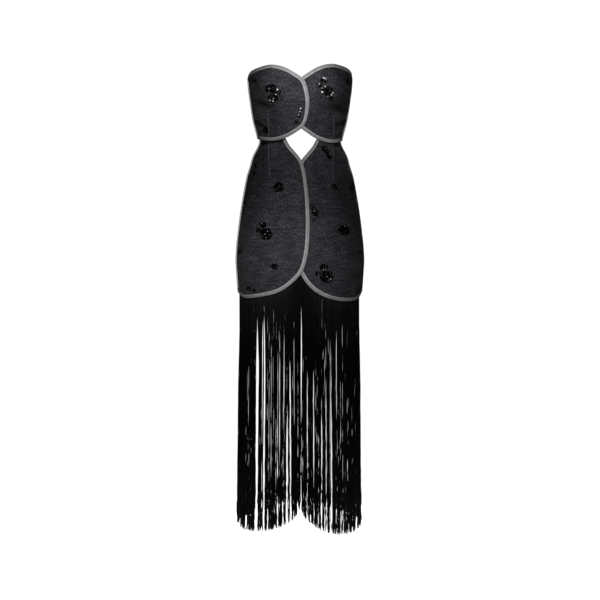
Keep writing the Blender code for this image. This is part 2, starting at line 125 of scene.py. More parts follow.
# Creases pulled into the cloth, by petal: angle where it starts and ends, height where it
# starts and ends, height of the ridge (minus: a fold), width.
CREASES = {
    "bodice_front_right": metres((
        (-80, -63, 152, 155.5, -6.8, 5.6), (-62, -74.6, 149, 133.5, 2.55, 3.2),
        (-74.6, -77.7, 133.5, 116.6, 1.53, 3.5), (-72, -39.3, 98.5, 70, -7.14, 12.5),
        (-48.1, -39.3, 114.3, 84.1, -1.36, 8), (-79, -62.1, 44.8, 30, -6.46, 5.4),
        (-74, -56, 56, 42, 1.53, 5), (-52, -30, 24, 29, -1.02, 7),
        (-34, -22, 160, 135, -0.85, 9),
    ), 2),
    "bodice_front_left": metres((
        (-58, -80, 158, 150, -6.46, 5.4), (-55, -66.1, 152.5, 126.2, 2.38, 3.2),
        (-66.1, -75.5, 126.2, 101.3, 1.7, 3.4), (-42.5, -78.4, 77, 65.4, -7.82, 11.5),
        (-46, -74, 64, 54, 1.36, 4.5), (-59.4, -84.5, 34, 44.9, -6.12, 5.8),
        (-22.4, -42, 39.9, 31.5, -3.74, 7), (-36, -50, 98, 86, -1.19, 8),
        (-28, -40, 160, 170, -0.68, 8),
    ), 2),
    "bodice_back_right": metres((
        (-80, -60, 150, 142, -3.23, 5.5), (-78, -58, 138, 130, 1.7, 4.5),
        (-82, -56, 62, 48, -3.74, 6), (-80, -50, 78, 70, 1.36, 6.5),
        (-48, -30, 98, 106, -1.36, 9), (-44, -30, 35, 42, -1.36, 5),
    ), 2),
    "bodice_back_left": metres((
        (-82, -64, 156, 140, -2.72, 5), (-74, -52, 125, 116, -1.7, 7),
        (-82, -60, 54, 43, -3.74, 5.2), (-80, -54, 67, 61, 1.7, 6),
        (-46, -28, 84, 80, -1.53, 8), (-60, -44, 24, 28, -1.36, 5),
    ), 2),
    "skirt_front_right": metres((
        (-88, -60, -24.5, -3, -10.2, 5.4), (-74, -56.5, -36, -20, 4.08, 4.59),
        (-86, -60, -54, -35, -10.2, 5.4), (-80, -64, -64, -52, 3.4, 6.075),
        (-54.8, -40, -111.7, -120.2, -6.46, 5.94), (-56, -42, -123, -130, 2.38, 6.75),
        (-44, -30, -90, -101, -4.08, 8.775), (-33.9, -22, -165.9, -181.9, -4.08, 16.2),
        (-58.9, -45.6, -333.8, -322, -4.08, 14.85), (-70, -52, -210, -190, -6.12, 17.55),
        (-64, -40, -385, -398, -2.04, 14.85),
    ), 2),
    "skirt_front_left": metres((
        (-45, -58.4, -112, -112.8, 3.4, 4.59), (-42, -58, -122, -123.5, -3.74, 5.94),
        (-61.8, -82.2, -14, -34, -8.84, 6.075), (-52, -70.4, -56.9, -78.1, -6.12, 8.37),
        (-54, -74, -44, -64, 2.72, 6.75), (-50.6, -70.7, -154.6, -138.1, -5.78, 12.15),
        (-26, -42.7, -246.1, -230.3, 5.44, 13.5), (-53.1, -72.4, -396, -379, -4.08, 12.15),
        (-60, -76, -290, -270, -2.72, 17.55), (-28, -40, -145, -160, -4.08, 12.15),
        (-21, -34, -200, -222, -4.08, 8.1),
    ), 2),
    "skirt_back_right": metres((
        (-84, -62, -24, -17, -8.5, 6.075), (-80, -60, -42, -33, -6.8, 6.75),
        (-76, -52, -62, -54, 3.06, 9.45), (-60, -30, -250, -262, -4.76, 12.15),
        (-72, -44, -270, -286, -3.4, 14.85), (-30, -46, -115, -96, -2.72, 12.15),
        (-66, -36, -355, -365, -2.72, 18.9),
    ), 2),
    "skirt_back_left": metres((
        (-82, -58, -27, -18, -8.16, 5.94), (-78, -62, -50, -37, -6.12, 6.48),
        (-70, -50, -66, -60, 2.72, 8.1), (-64, -34, -242, -256, -4.42, 11.475),
        (-58, -36, -272, -276, -3.06, 13.5), (-32, -52, -130, -112, -2.38, 13.5),
        (-74, -50, -340, -356, -3.06, 17.55),
    ), 2),
}
WAVE_HEIGHT = 0.00065       # the soft unevenness between the creases

# Stitched darts, by petal: the points (angle, height) that the dart runs through.
DARTS = {
    "skirt_front_right": metres(((-56, -10), (-47.6, -71.4), (-43.4, -123.5))),
    "skirt_front_left": metres(((-57, -10), (-47.7, -73.4), (-43.4, -123.5))),
    "skirt_back_right": metres(((-50, 6), (-44, -52), (-41, -108))),
    "skirt_back_left": metres(((-50, 6), (-44.5, -52), (-41.5, -110))),
    "bodice_front_right": metres(((-49, 60), (-53.2, 29.2), (-55.6, 5))),
    "bodice_front_left": metres(((-49.6, 62), (-54.7, 29.5), (-57.3, 4.5))),
    "bodice_back_right": metres(((-50, 86), (-52, 48), (-53, 19.5))),
    "bodice_back_left": metres(((-50, 86), (-52, 48), (-53, 19.5))),
}
# A dart's section: distance across, height over the cloth, wear and painted highlight.
DART_SECTION = ((-0.0009, 0.00005, 0.00), (-0.0005, 0.00040, 0.55), (0.0, 0.00055, 0.90),
                (0.0008, 0.00030, 0.30), (0.0020, 0.00002, 0.00))
DART_STEP = 0.003

# Sequin flowers, by petal: angle, height, radius.
FLOWERS = {
    "bodice_front_right": metres((
        (-37.1, 131.4, 12.8), (-30.8, 123, 8), (-35.7, 108.7, 9.5), (-58.8, 25.5, 10),
        (-1.5, 77.4, 6), (-4, 61, 5), (-8.6, 46.4, 5.5), (-65.5, 156.7, 5.4),
    )),
    "bodice_front_left": metres((
        (-32.7, 127.4, 13), (-30.3, 155.2, 8.2), (-23.4, 141.9, 7.5), (-70.5, 158, 7.8),
        (-77, 49.9, 7.8), (-37.1, 108.5, 5.4),
    )),
    "bodice_back_right": metres((
        (-38, 142, 12), (-28, 130, 7), (-66, 110, 8.5), (-40, 65, 10.5), (-70, 30, 6.8),
    )),
    "bodice_back_left": metres((
        (-52, 138, 11), (-44, 126, 6.2), (-34, 88, 9), (-68, 64, 9.5), (-30, 50, 6),
    )),
    "skirt_front_right": metres((
        (-67.7, -71.8, 7.2), (-67.8, -92, 6), (-30.8, -131.2, 13.8), (-42.5, -257.2, 16),
        (-46.6, -233, 9), (-51.3, -247, 7.2), (-32, -344.5, 8.2), (-62.1, -406, 6.6),
        (-56.4, -412, 6.2), (-77.2, -175.1, 8.2), (-74.6, -304.1, 8.2),
    )),
    "skirt_front_left": metres((
        (-38.5, -25, 8.2), (-42.1, -35, 7.6), (-44.8, -48, 7), (-44.6, -130, 8.2),
        (-14.8, -183.4, 6.8), (-18.6, -199, 10.5), (-16.4, -217, 5.6), (-51.6, -247.3, 15),
        (-27.1, -347, 10.5), (-20.2, -363.4, 6.8), (-30.4, -371.6, 17), (-72.3, -127.1, 10),
        (-72.5, -310.7, 8.2), (-71.3, -412, 7.8),
    )),
    "skirt_back_right": metres((
        (-34, -90, 13), (-42, -82, 6.5), (-62, -150, 10.5), (-26, -205, 8.2), (-48, -248, 15.5),
        (-53.5, -230, 7.2), (-70, -290, 9), (-24, -330, 12), (-44, -378, 8), (-78, -80, 7),
        (-74, -390, 8.2),
    )),
    "skirt_back_left": metres((
        (-40, -125, 11), (-70, -70, 8.5), (-30, -190, 15), (-36.5, -174, 6.5), (-58, -210, 8),
        (-74, -235, 10.5), (-44, -295, 13.5), (-50, -312, 7), (-26, -362, 8.5), (-64, -368, 11),
        (-30, -270, 6),
    )),
}
# Near-white beads among the sequins as painted glints, by petal: angle, height, radius.
GLINT_BEADS = {
    "bodice_front_right": metres((
        (-30.6, 128.5, 2.99), (-35.1, 107.2, 1.82), (-36, 101.8, 2.08), (-38.8, 103.5, 1.82),
        (-38.3, 131.2, 1.43), (-1, 81.4, 2.08), (-2.6, 74, 1.82), (-4.6, 63.5, 1.3),
        (-32.2, 117.3, 1.43),
    )),
    "bodice_front_left": metres((
        (-30, 160.6, 2.47), (-32, 158.8, 2.34), (-24.3, 145, 1.82), (-30.3, 136.9, 1.82),
        (-27.2, 123.2, 2.86), (-38, 122, 2.34), (-36.8, 116.8, 1.95), (-27.6, 133, 1.43),
        (-33.2, 113, 1.3),
    )),
    "bodice_back_right": metres((
        (-38, 142, 2.34), (-34, 133, 1.82), (-41, 60, 2.08),
    )),
    "bodice_back_left": metres((
        (-52.5, 135, 2.08), (-45, 129, 1.69), (-33, 91, 1.95),
    )),
    "skirt_front_right": metres((
        (-40.6, -250, 1.19), (-48, -229.5, 0.935), (-30.8, -145.9, 0.935),
        (-43.3, -257.7, 0.935),
    )),
    "skirt_front_left": metres((
        (-14, -183.5, 0.85), (-16.8, -195, 1.02), (-35.1, -379, 1.445), (-26.6, -354.1, 1.02),
        (-29.2, -351.5, 0.935), (-30.6, -371.6, 1.02), (-52.4, -236.5, 1.19),
        (-16.4, -211.7, 0.85),
    )),
    "skirt_back_right": metres((
        (-34.5, -95, 1.19), (-49.5, -254, 1.275), (-24.5, -336, 1.105),
    )),
    "skirt_back_left": metres((
        (-29, -196, 1.275), (-45.5, -300, 1.19), (-64.5, -372, 1.02),
    )),
}
SEQUIN_RADIUS = 0.0028
SEQUIN_PITCH = 0.0041       # along a flower's ring of sequins
RING_PITCH = 0.0034         # from one ring to the next
SEQUIN_CUP = 0.0004         # how deep a sequin is
# the small beads are grey as painted highlights between the sequins
BEAD_PITCH = 0.0032         # one small bead for this much of a flower's radius
# A bead's rings, as shares of its radius, and where its first facet lies.
BEAD_RINGS = ((0.69, 0.72, 0.5), (0.98, 0.20, 0.0), (0.93, -0.35, 0.0))

# The tape's section from its outer edge over the fold to its inner edge:
# distance in from the fold, distance out from the panel's middle layer.
TAPE_LEG = metres((
    (10, 1.12), (9.7, 1.3), (8.8, 1.5), (7.4, 1.54), (6.2, 1.4), (5.6, 1.14), (4.9, 1.1),
    (4.3, 1.28), (3.4, 1.5), (2.2, 1.5), (1.2, 1.18), (0.7, 0.7),
), 0)
TAPE_FOLD = (0.0005, 0.0)
TAPE_SHELL = 0.0008
TAPE_GROOVE = 0.0052        # the stitched groove, in from the fold
GROOVE_LEVEL = 0.00110      # out from the panel's middle layer
STITCH_PITCH = 0.0033
STITCH_LENGTH = 0.0024
STITCH_RADIUS = 0.00024
STITCH_STATIONS = (0.0, 0.28, 0.72, 1.0)
STITCH_SHAPE = ((-0.00016, 0.0, 0.0, -0.00016), (0.30, 1.0, 1.0, 0.30))     # rise, swell

# The side tape's section: distance from the seam, distance out from the panel's middle layer.
SIDE_SECTION = metres((
    (-5, 1.72), (-4.5, 2.32), (-3.4, 2.68), (-2.2, 2.62), (-1, 2.22), (0, 1.96), (1, 2.22),
    (2.2, 2.62), (3.4, 2.68), (4.5, 2.32), (5, 1.72),
), 0)
SIDE_SHELL = 0.0010

# Where the front and back fringe part: angle from the centre front, where along the strands the
# gap opens (0 root, 1 end), its width at 0.35, 0.7 and 1 of the length. A minus draws the
# strands together.
GAPS = metres((
    (90, 0.02, -4, -5, -5), (-90, 0.02, -4, -5, -5), (-70.8, 0.5, 0, 1.8, 3),
    (-64.6, 0.15, 1.8, 1, 2.4), (-53.6, 0.1, 12, 10.6, 13), (-46.6, 0.08, 7.8, 6.4, 8),
    (-40.6, 0.2, 2.6, 5, 5), (-36.4, 0.14, 2.4, 4, 1.6), (-31.4, 0.2, 1.4, 2.6, 2.4),
    (-27.4, 0.14, 3.6, 3.4, 3), (-22.3, 0.16, 3.4, 4.6, 7), (-17.7, 0.36, 1.8, 6, 7),
    (-14.8, 0.26, 2.6, 5.4, 6), (-9.8, 0.05, 1.4, 1, 0), (-5.8, 0.84, 0, 0, 6),
    (-0.3, 0.08, 3.8, 0.6, 4.6), (7.3, 0.34, 1.8, 4.6, 3.6), (15.3, 0.3, 2.2, 3.8, 3),
    (19.8, 0.12, 1.8, 2.2, 1), (25.8, 0.22, 2.6, 5.8, 5), (30.2, 0.34, 2.4, 3.6, 5),
    (36.4, 0.16, 3, 6, 6), (43.8, 0.06, 7.4, 4.4, 3), (50, 0.14, 1.6, 1.8, 8),
    (54.8, 0.1, 2.8, 4, 4), (60, 0.75, 0, 0, 4), (65.6, 0.4, 0.4, 2.2, 3),
    (76, 0.4, 0.6, 1.8, 2.6), (101, 0.3, 1.8, 2.4, 4), (109.4, 0.3, 1.2, 3.6, 3.6),
    (120.6, 0.1, 4.4, 6.4, 5), (125.3, 0.14, 2.4, 2.8, 3), (131.5, 0.06, 9.4, 6.4, 4),
    (138.9, 0.16, 4.4, 8, 7), (145.2, 0.26, 3.4, 5.2, 6), (149.8, 0.05, 3.8, 7.2, 6),
    (155.7, 0.12, 3.2, 3.2, 2), (160.3, 0.08, 3.4, 5.4, 4), (168.2, 0.16, 3.4, 6.4, 5),
    (176.2, 0.12, 4, 1.6, 4), (-174.2, 0.06, 3.4, 2.4, 2), (-168.8, 0.18, 3.6, 7, 7),
    (-165.9, 0.2, 3.4, 7.4, 7), (-161, 0.06, 5, 6.4, 7), (-155.6, 0.06, 5.4, 5.2, 4),
    (-151.4, 0.2, 2.8, 4.4, 4), (-146.4, 0.14, 4, 6, 4), (-141.8, 0.12, 4.2, 6.6, 6),
    (-135.1, 0.08, 10, 9.2, 8), (-127.7, 0.1, 15, 13, 12), (-116, 0.15, 3, 2, 3),
    (-109, 0.45, 0, 3, 3.6), (-98, 0.35, 1.6, 2.4, 4),
), 2)
GAP_REACH = 0.0110          # how far beside a gap the strands lean
STRANDS = 370               # in each of the four fringes
STRAND_STATIONS = 26
STRAND_SIDES = 3
STRAND_RADIUS = 0.00060
HEM_RADIUS = 0.148          # turns an angle into a length along the hem
# How far the fringe hangs in at each side: places along the strands, distances.
LEFT_TRIM = ((0.0, 0.3, 1.0), (0.0022, 0.0036, 0.0036))
RIGHT_TRIM = ((0.0, 0.3, 1.0), (-0.0010, 0.0012, -0.0002))

Petal = namedtuple("Petal", "garment face side edge waist over flat_radius edge_steps rings")


def make_petals():
    petals = []
    for face, cup, skirt in (("front", CUP_FRONT, SKIRT_FRONT), ("back", CUP_BACK, SKIRT_BACK)):
        for side in ("right", "left"):
            over = side == ("right" if face == "front" else "left")
            petals.append(Petal("bodice", face, side, cup, None, over,
                                CUP_FLAT_RADIUS, CUP_STEPS, CUP_RINGS))
            petals.append(Petal("skirt", face, side, skirt, cup, over,
                                SKIRT_FLAT_RADIUS, SKIRT_STEPS, SKIRT_RINGS))
    return petals


def petal_name(petal):
    return "_".join((petal.garment, petal.face, petal.side))


# ---- the body's surface
def smooth_step(low, high, value):
    """Rise smoothly from 0 at low to 1 at high."""
    share = np.clip((value - low) / (high - low), 0.0, 1.0)
    return share * share * (3.0 - 2.0 * share)


def column_slopes(column):
    """Slopes at the form's rows that keep its profile free of overshoot."""
    steps = np.diff(FORM[:, column]) / np.diff(FORM[:, 0])
    slopes = [steps[0]]
    for before, after in zip(steps, steps[1:]):
        slopes.append(0.0 if before * after <= 0.0 else 2.0 * before * after / (before + after))
    slopes.append(steps[-1])
    return np.array(slopes)


FORM_SLOPES = {column: column_slopes(column) for column in (1, 2, 3)}


def form_value(column, z):
    """Smooth profile of the form through the rows of FORM."""
    row = np.clip(np.searchsorted(FORM[:, 0], z, side="left") - 1, 0, len(FORM) - 2)
    span = FORM[row + 1, 0] - FORM[row, 0]
    t = (z - FORM[row, 0]) / span
    rise = FORM_SLOPES[column][row] * span
    run = FORM_SLOPES[column][row + 1] * span
    return ((2 * t ** 3 - 3 * t ** 2 + 1) * FORM[row, column] + (t ** 3 - 2 * t ** 2 + t) * rise
            + (3 * t ** 2 - 2 * t ** 3) * FORM[row + 1, column] + (t ** 3 - t ** 2) * run)


def form_point(theta, z):
    """Points of the worn form. theta: degrees from the centre front, plus to the wearer's left."""
    across = np.sin(np.radians(theta))
    ahead = np.cos(np.radians(theta))
    half_width = form_value(1, z)
    depth = np.where(ahead > 0.0, form_value(2, z), form_value(3, z))
    scaled = (np.abs(ahead) / depth) ** BODY_POWER + (np.abs(across) / half_width) ** BODY_POWER
    radius = scaled ** (-1.0 / BODY_POWER)
    x = radius * across
    for side in (-1.0, 1.0):
        away = ((x - side * BUST_X) / BUST_SPREAD_X) ** 2 + ((z - BUST_Z) / BUST_SPREAD_Z) ** 2
        radius = radius + BUST_RISE * np.exp(-away) * smooth_step(0.0, 0.4, ahead)
    return np.stack([radius * across, -radius * ahead, z + 0.0 * radius], axis=-1)


def unit(vectors):
    return vectors / np.linalg.norm(vectors, axis=-1, keepdims=True)


def form_normal(theta, z):
    """Outward unit normals of the worn form."""
    turn = form_point(theta + 0.2, z) - form_point(theta - 0.2, z)
    climb = form_point(theta, z + 0.0005) - form_point(theta, z - 0.0005)
    return unit(np.cross(turn, climb))


# ---- petals drawn flat
def petal_theta(petal, reach):
    """Angle round the body of a point that is `reach` degrees from the petal's centre line."""
    if petal.face == "front":
        return reach if petal.side == "right" else -reach
    return -180.0 - reach if petal.side == "right" else 180.0 + reach


def petal_offset(petal, reach, z):
    """How far the petal's middle layer stands off the form."""
    lift = PETAL_LIFT * smooth_step(*LIFT_ANGLES, reach) if petal.over else 0.0 * reach
    if petal.garment == "bodice":
        return lift + 0.0 * z
    tuck = smooth_step(*TUCK_HEIGHTS, z)
    return lift * (1.0 - tuck) - WAIST_TUCK * tuck


def flat_point(petal, reach, z):
    return np.array((math.radians(reach) * petal.flat_radius, z))


def relief(petal, flat):
    """How far the creases move the cloth off its smooth form."""
    lift = WAVE_HEIGHT * np.sin(flat[:, 0] * 96.0 + 1.7) * np.sin(flat[:, 1] * 71.0 + 0.4)
    for reach0, reach1, z0, z1, height, width in CREASES[petal_name(petal)]:
        start = flat_point(petal, reach0, z0)
        along = flat_point(petal, reach1, z1) - start
        share = np.clip((flat - start) @ along / (along @ along), 0.0, 1.0)
        bow = 0.0025 * np.sin(math.pi * share)
        away = np.linalg.norm(flat - start - share[:, None] * along, axis=1) - bow
        swell = 0.25 + 0.75 * np.sin(math.pi * (0.08 + 0.84 * share))
        lift += height * swell * np.exp(-(away / width) ** 2)
    reach = np.degrees(flat[:, 0] / petal.flat_radius)
    fade = smooth_step(-90.0, -85.0, reach) * (1.0 - smooth_step(-26.0, -17.0, reach))
    if petal.garment == "skirt":
        fade = fade * np.where(lift > 0.0, 1.0 - smooth_step(-0.022, -0.012, flat[:, 1]),
                               1.0 - smooth_step(-0.010, 0.004, flat[:, 1]))
    else:
        fade = fade * (0.2 + 0.8 * smooth_step(0.004, 0.022, flat[:, 1]))
    return lift * fade


def place(petal, flat, out=0.0):
    """Points on the worn form for points of the flat petal, moved out by `out`."""
    reach = np.degrees(flat[:, 0] / petal.flat_radius)
    z = flat[:, 1]
    theta = petal_theta(petal, reach)
    offset = petal_offset(petal, reach, z) + relief(petal, flat) + out
    return form_point(theta, z) + form_normal(theta, z) * offset[:, None]


def flat_rows(petal, rows):
    """Table rows as points of the flat petal."""
    left = petal.side == "left"
    return np.array([flat_point(petal, reach, height + (extra if left else 0.0))
                     for reach, height, extra in rows])


def spline(points):
    """Dense smooth curve through the points."""
    ends = np.vstack([2 * points[0] - points[1], points, 2 * points[-1] - points[-2]])
    t = (np.arange(SPLINE_STEPS) / SPLINE_STEPS)[:, None]
    dense = []
    for a, b, c, d in zip(ends, ends[1:], ends[2:], ends[3:]):
        dense.append(0.5 * (2 * b + (c - a) * t + (2 * a - 5 * b + 4 * c - d) * t ** 2
                            + (3 * b - a - 3 * c + d) * t ** 3))
    return np.vstack(dense + [points[-1:]])


def lengths_along(points):
    """Distance of each point from the first, along the curve."""
    return np.concatenate([[0.0], np.cumsum(np.linalg.norm(np.diff(points, axis=0), axis=1))])


def at_lengths(points, targets):
    """Points at the given distances along a curve."""
    run = lengths_along(points)
    return np.stack([np.interp(targets, run, column) for column in points.T], axis=-1)


def bound_edge(petal):
    """Finished edge of the petal that carries the tape, in equal steps."""
    dense = spline(flat_rows(petal, petal.edge))
    return at_lengths(dense, np.linspace(0.0, lengths_along(dense)[-1], petal.edge_steps + 1))


def seam_tape_top(petal):
    """Height at which the tape over the petal's side seam ends."""
    if petal.waist is None:
        return flat_rows(petal, petal.edge)[0][1]
    return flat_rows(petal, petal.waist)[-1][1] - SEAM_GAP


def waist_edge(petal):
    """Cut top of a skirt petal, hidden inside the bodice, from the side seam inwards."""
    rows = [row for row in petal.waist if row[1] < CUP_MIDDLE and row[0] < petal.edge[0][0]]
    dense = spline(flat_rows(petal, rows[::-1]))
    dense = at_lengths(dense, np.arange(0.0, lengths_along(dense)[-1], SEAM_STEP))
    return dense + np.array((0.0, WAIST_LAP))


def straight(start, end, step):
    """Inner points of a straight run, ends left out."""
    count = max(2, round(float(np.linalg.norm(end - start)) / step))
    return [start + (end - start) * i / count for i in range(1, count)]


def petal_loop(petal):
    """Closed outline of the flat petal, and how many of its edges are bound, seam and waist."""
    edge = bound_edge(petal)
    tape_end = np.array((edge[-1][0], seam_tape_top(petal)))
    seam = straight(edge[-1], tape_end, SEAM_STEP)
    if petal.waist is None:
        return np.vstack([edge, seam]), (len(edge) - 1, len(seam) + 1, 0)
    seam.append(tape_end)
    top = waist_edge(petal)
    return np.vstack([edge, seam, top]), (len(edge) - 1, len(seam) + 1, len(top))


def set_back(points, distances):
    """Move a closed outline inwards, edge by edge."""
    ahead = np.roll(points, -1, axis=0)
    area = np.sum(points[:, 0] * ahead[:, 1] - points[:, 1] * ahead[:, 0])
    along = unit(ahead - points)
    normals = np.stack([-along[:, 1], along[:, 0]], axis=1) * (1.0 if area > 0.0 else -1.0)
    moved = np.empty_like(points)
    for i in range(len(points)):
        before, after = normals[i - 1], normals[i]
        near, far = distances[i - 1], distances[i]
        facing = before @ after
        if facing > 0.94:
            middle = unit(before + after)
            moved[i] = points[i] + middle * (near + far) / 2 / (middle @ before)
            continue
        scale = 1.0 - facing ** 2
        moved[i] = (points[i] + before * (near - far * facing) / scale
                    + after * (far - near * facing) / scale)
    return moved


# ---- mesh helpers
def mesh_object(name, points, faces, materials, uvs=None, values=None):
    """Smooth mesh object. uvs: one for each point. values: named number for each point."""
    mesh = bpy.data.meshes.new(name)
    mesh.from_pydata([tuple(p) for p in points], [], [tuple(int(i) for i in f) for f in faces])
    mesh.polygons.foreach_set("use_smooth", [True] * len(mesh.polygons))
    if uvs is not None:
        layer = mesh.uv_layers.new(name="cut")
        corners = np.empty(len(mesh.loops), dtype=np.int64)
        mesh.loops.foreach_get("vertex_index", corners)
        layer.data.foreach_set("uv", np.asarray(uvs, dtype=np.float32)[corners].ravel())
    for key, numbers in (values or {}).items():
        layer = mesh.attributes.new(key, "FLOAT", "POINT")
        layer.data.foreach_set("value", np.asarray(numbers, dtype=np.float32))
    for entry in materials:
        mesh.materials.append(entry)
    mesh.update()
    item = bpy.data.objects.new(name, mesh)
    bpy.context.scene.collection.objects.link(item)
    return item


def strip_faces(rows, columns, closed=False):
    """Quads of a grid whose points are listed row by row. closed: the columns join up."""
    count = columns if closed else columns - 1
    i, j = np.meshgrid(np.arange(rows - 1), np.arange(count), indexing="ij")
    after = (j + 1) % columns
    return np.stack([i * columns + j, i * columns + after,
                     (i + 1) * columns + after, (i + 1) * columns + j], axis=-1).reshape(-1, 4)


def shell(points, faces, outline):
    """Closed shell round a sheet. points: its outer layer and its inner one."""
    count = len(points[0])
    inner = [tuple(i + count for i in reversed(face)) for face in faces]
    rim = [(b, a, a + count, b + count) for a, b in zip(outline, list(outline[1:]) + [outline[0]])]
    return np.vstack(points), faces + inner + rim


def facing_out(item):
    """Turn the faces of a closed mesh outwards."""
    work = bmesh.new()
    work.from_mesh(item.data)
    bmesh.ops.recalc_face_normals(work, faces=work.faces)
    work.to_mesh(item.data)
    work.free()


def sewn_on(item, node=None):
    """Fix a piece to the dress. node: the solid that it takes the place of."""
    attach(item, "root")
    if node is not None:
        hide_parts(node)
    return item


def tape_object(name, points, rows, material, uvs, wall):
    """Tape with a wall, on a grid of points in its middle layer."""
    tape = mesh_object(name + "_cloth", points, strip_faces(rows, len(points) // rows),
                       [material], uvs)
    solid = tape.modifiers.new("wall", "SOLIDIFY")
    solid.thickness = wall
    solid.offset = 0.0
    return sewn_on(tape, name)


# ---- materials
class Look:
    """A material under construction: its nodes and its shader."""

    def __init__(self, name):
        self.material = bpy.data.materials.new(name)
        self.material.use_nodes = True
        self.nodes = self.material.node_tree.nodes
        self.links = self.material.node_tree.links
        self.shader = self.nodes["Principled BSDF"]

    def feed(self, socket, value):
        """Link another node's output to a socket, or set the socket's own value."""
        if isinstance(value, bpy.types.NodeSocket):
            self.links.new(value, socket)
        else:
            socket.default_value = (*value, 1.0) if socket.type == "RGBA" else value

    def node(self, kind, output, *inputs, **settings):
        """Output of a new node. inputs: pairs of a socket and what feeds it."""
        made = self.nodes.new("ShaderNode" + kind)
        for key, value in settings.items():
            setattr(made, key, value)
        for socket, value in inputs:
            self.feed(made.inputs[socket], value)
        return made.outputs[output]

    def cut(self, across, along, turn=0.0, shift=(0.0, 0.0)):
        """The cut's coordinates in metres, scaled, turned by degrees and shifted."""
        return self.node("Mapping", "Vector", ("Vector", self.node("UVMap", "UV", uv_map="cut")),
                         ("Scale", (across, along, 1.0)), ("Location", (*shift, 0.0)),
                         ("Rotation", (0.0, 0.0, math.radians(turn))))

    def noise(self, vector, detail=2.0, roughness=0.55, scale=1.0):
        return self.node("TexNoise", "Fac", ("Scale", scale), ("Detail", detail),
                         ("Roughness", roughness), ("Vector", vector))

    def object_noise(self, scale):
        return self.noise(self.node("TexCoord", "Object"), 1.0, scale=scale)

    def wave(self, vector, distortion):
        return self.node("TexWave", "Fac", ("Scale", 1.0), ("Distortion", distortion),
                         ("Detail", 1.0), ("Detail Scale", 1.5), ("Vector", vector))

    def value(self, name):
        """A named number of the mesh's points."""
        return self.node("Attribute", "Fac", attribute_name=name)

    def maths(self, operation, first, second):
        return self.node("Math", "Value", (0, first), (1, second), operation=operation)

    def total(self, *parts):
        """Sum of pairs of a value and its weight."""
        terms = [self.maths("MULTIPLY", value, weight) for value, weight in parts]
        while len(terms) > 1:
            terms[:2] = [self.maths("ADD", terms[0], terms[1])]
        return terms[0]

    def ramp(self, value, *stops):
        """Colours for a value. stops: pairs of a position and a colour or a grey."""
        made = self.nodes.new("ShaderNodeValToRGB")
        entries = made.color_ramp.elements
        while len(entries) < len(stops):
            entries.new(0.5)
        for entry, (position, colour) in zip(entries, stops):
            entry.position = position
            entry.color = (*(colour if isinstance(colour, tuple) else (colour,) * 3), 1.0)
        self.links.new(value, made.inputs["Fac"])
        return made.outputs["Color"]

    def blend(self, factor, first, second, kind="MIX"):
        return self.node("Mix", 2, ("Factor", factor), (6, first), (7, second),
                         data_type="RGBA", blend_type=kind)

    def bump(self, height, distance, strength):
        self.feed(self.shader.inputs["Normal"],
                  self.node("Bump", "Normal", ("Strength", strength), ("Distance", distance),
                            ("Height", height)))

    def finish(self, *inputs):
        """The finished material. inputs: pairs of a shader's socket and what feeds it."""
        for socket, value in inputs:
            self.feed(self.shader.inputs[socket], value)
        return self.material


def denim_material():
    """Charcoal denim: heathered yarns, slubs, a fine twill, and along the darts pale wear mixed
    with a painted highlight.
    """
    look = Look("denim")
    heather = look.noise(look.cut(330.0, 260.0, 24.0), 3.0, 0.62)
    slubs = look.noise(look.cut(760.0, 120.0))
    flecks = look.noise(look.cut(170.0, 820.0, 0.0, (3.1, 8.4)))
    cloud = look.noise(look.cut(34.0, 30.0, 0.0, (5.0, 2.0)))
    patches = look.noise(look.cut(42.0, 125.0, -38.0, (2.0, 9.0)), 3.0)
    twill = look.wave(look.cut(340.0, 340.0, 52.0), 1.2)
    tone = look.total((heather, 1.05), (slubs, 0.36), (flecks, 0.30), (cloud, 0.24),
                      (twill, 0.14), (patches, 0.34))
    colour = look.ramp(look.maths("SUBTRACT", tone, 0.715),
                       (0.25, (0.0050, 0.0050, 0.0062)), (0.42, (0.0150, 0.0147, 0.0180)),
                       (0.52, (0.0290, 0.0282, 0.0338)), (0.64, (0.0560, 0.0545, 0.0625)),
                       (0.78, (0.1050, 0.1020, 0.1120)))
    # paler denim along the dart ridges: partly wear, partly a painted highlight where a ridge
    # catches light
    rubbed_and_highlight = look.maths("MULTIPLY", look.value("wear_and_highlight"), 0.95)
    look.bump(look.total((twill, 0.6), (heather, 1.0)), 0.0004, 0.55)
    return look.finish(("Base Color", look.blend(rubbed_and_highlight, colour, (0.160, 0.156, 0.166))),
                       ("Roughness", look.ramp(heather, (0.3, 0.96), (0.7, 0.80))),
                       ("Specular IOR Level", 0.12), ("Sheen Weight", 0.05),
                       ("Sheen Roughness", 0.5))


def tape_material(name, bright, light_and_shade_bands):
    """Grey woven tape. bands: painted highlight and shade across its width, from its outer edge
    over the fold.
    """
    look = Look(name)
    ribs = look.wave(look.cut(0.0, 420.0), 0.8)
    yarns = look.noise(look.cut(520.0, 1400.0))
    stains = look.noise(look.cut(90.0, 90.0, 0.0, (1.0, 7.0)), 3.0)
    tints = ((0.30, (0.66, 0.655, 0.67)), (0.50, (1.00, 0.990, 1.01)), (0.70, (1.36, 1.350, 1.37)))
    colour = look.ramp(look.total((yarns, 0.55), (stains, 0.45)),
                       *((at, tuple(bright * c for c in tint)) for at, tint in tints))
    across = look.node("SeparateXYZ", "Y", ("Vector", look.cut(40.0, 40.0)))
    look.bump(look.total((ribs, 0.5), (yarns, 1.0)), 0.00025, 0.5)
    # the bands multiply the colour by painted highlight and painted shade
    return look.finish(
        ("Base Color", look.blend(1.0, colour, look.ramp(across, *light_and_shade_bands), "MULTIPLY")),
        ("Roughness", 0.88), ("Specular IOR Level", 0.15))


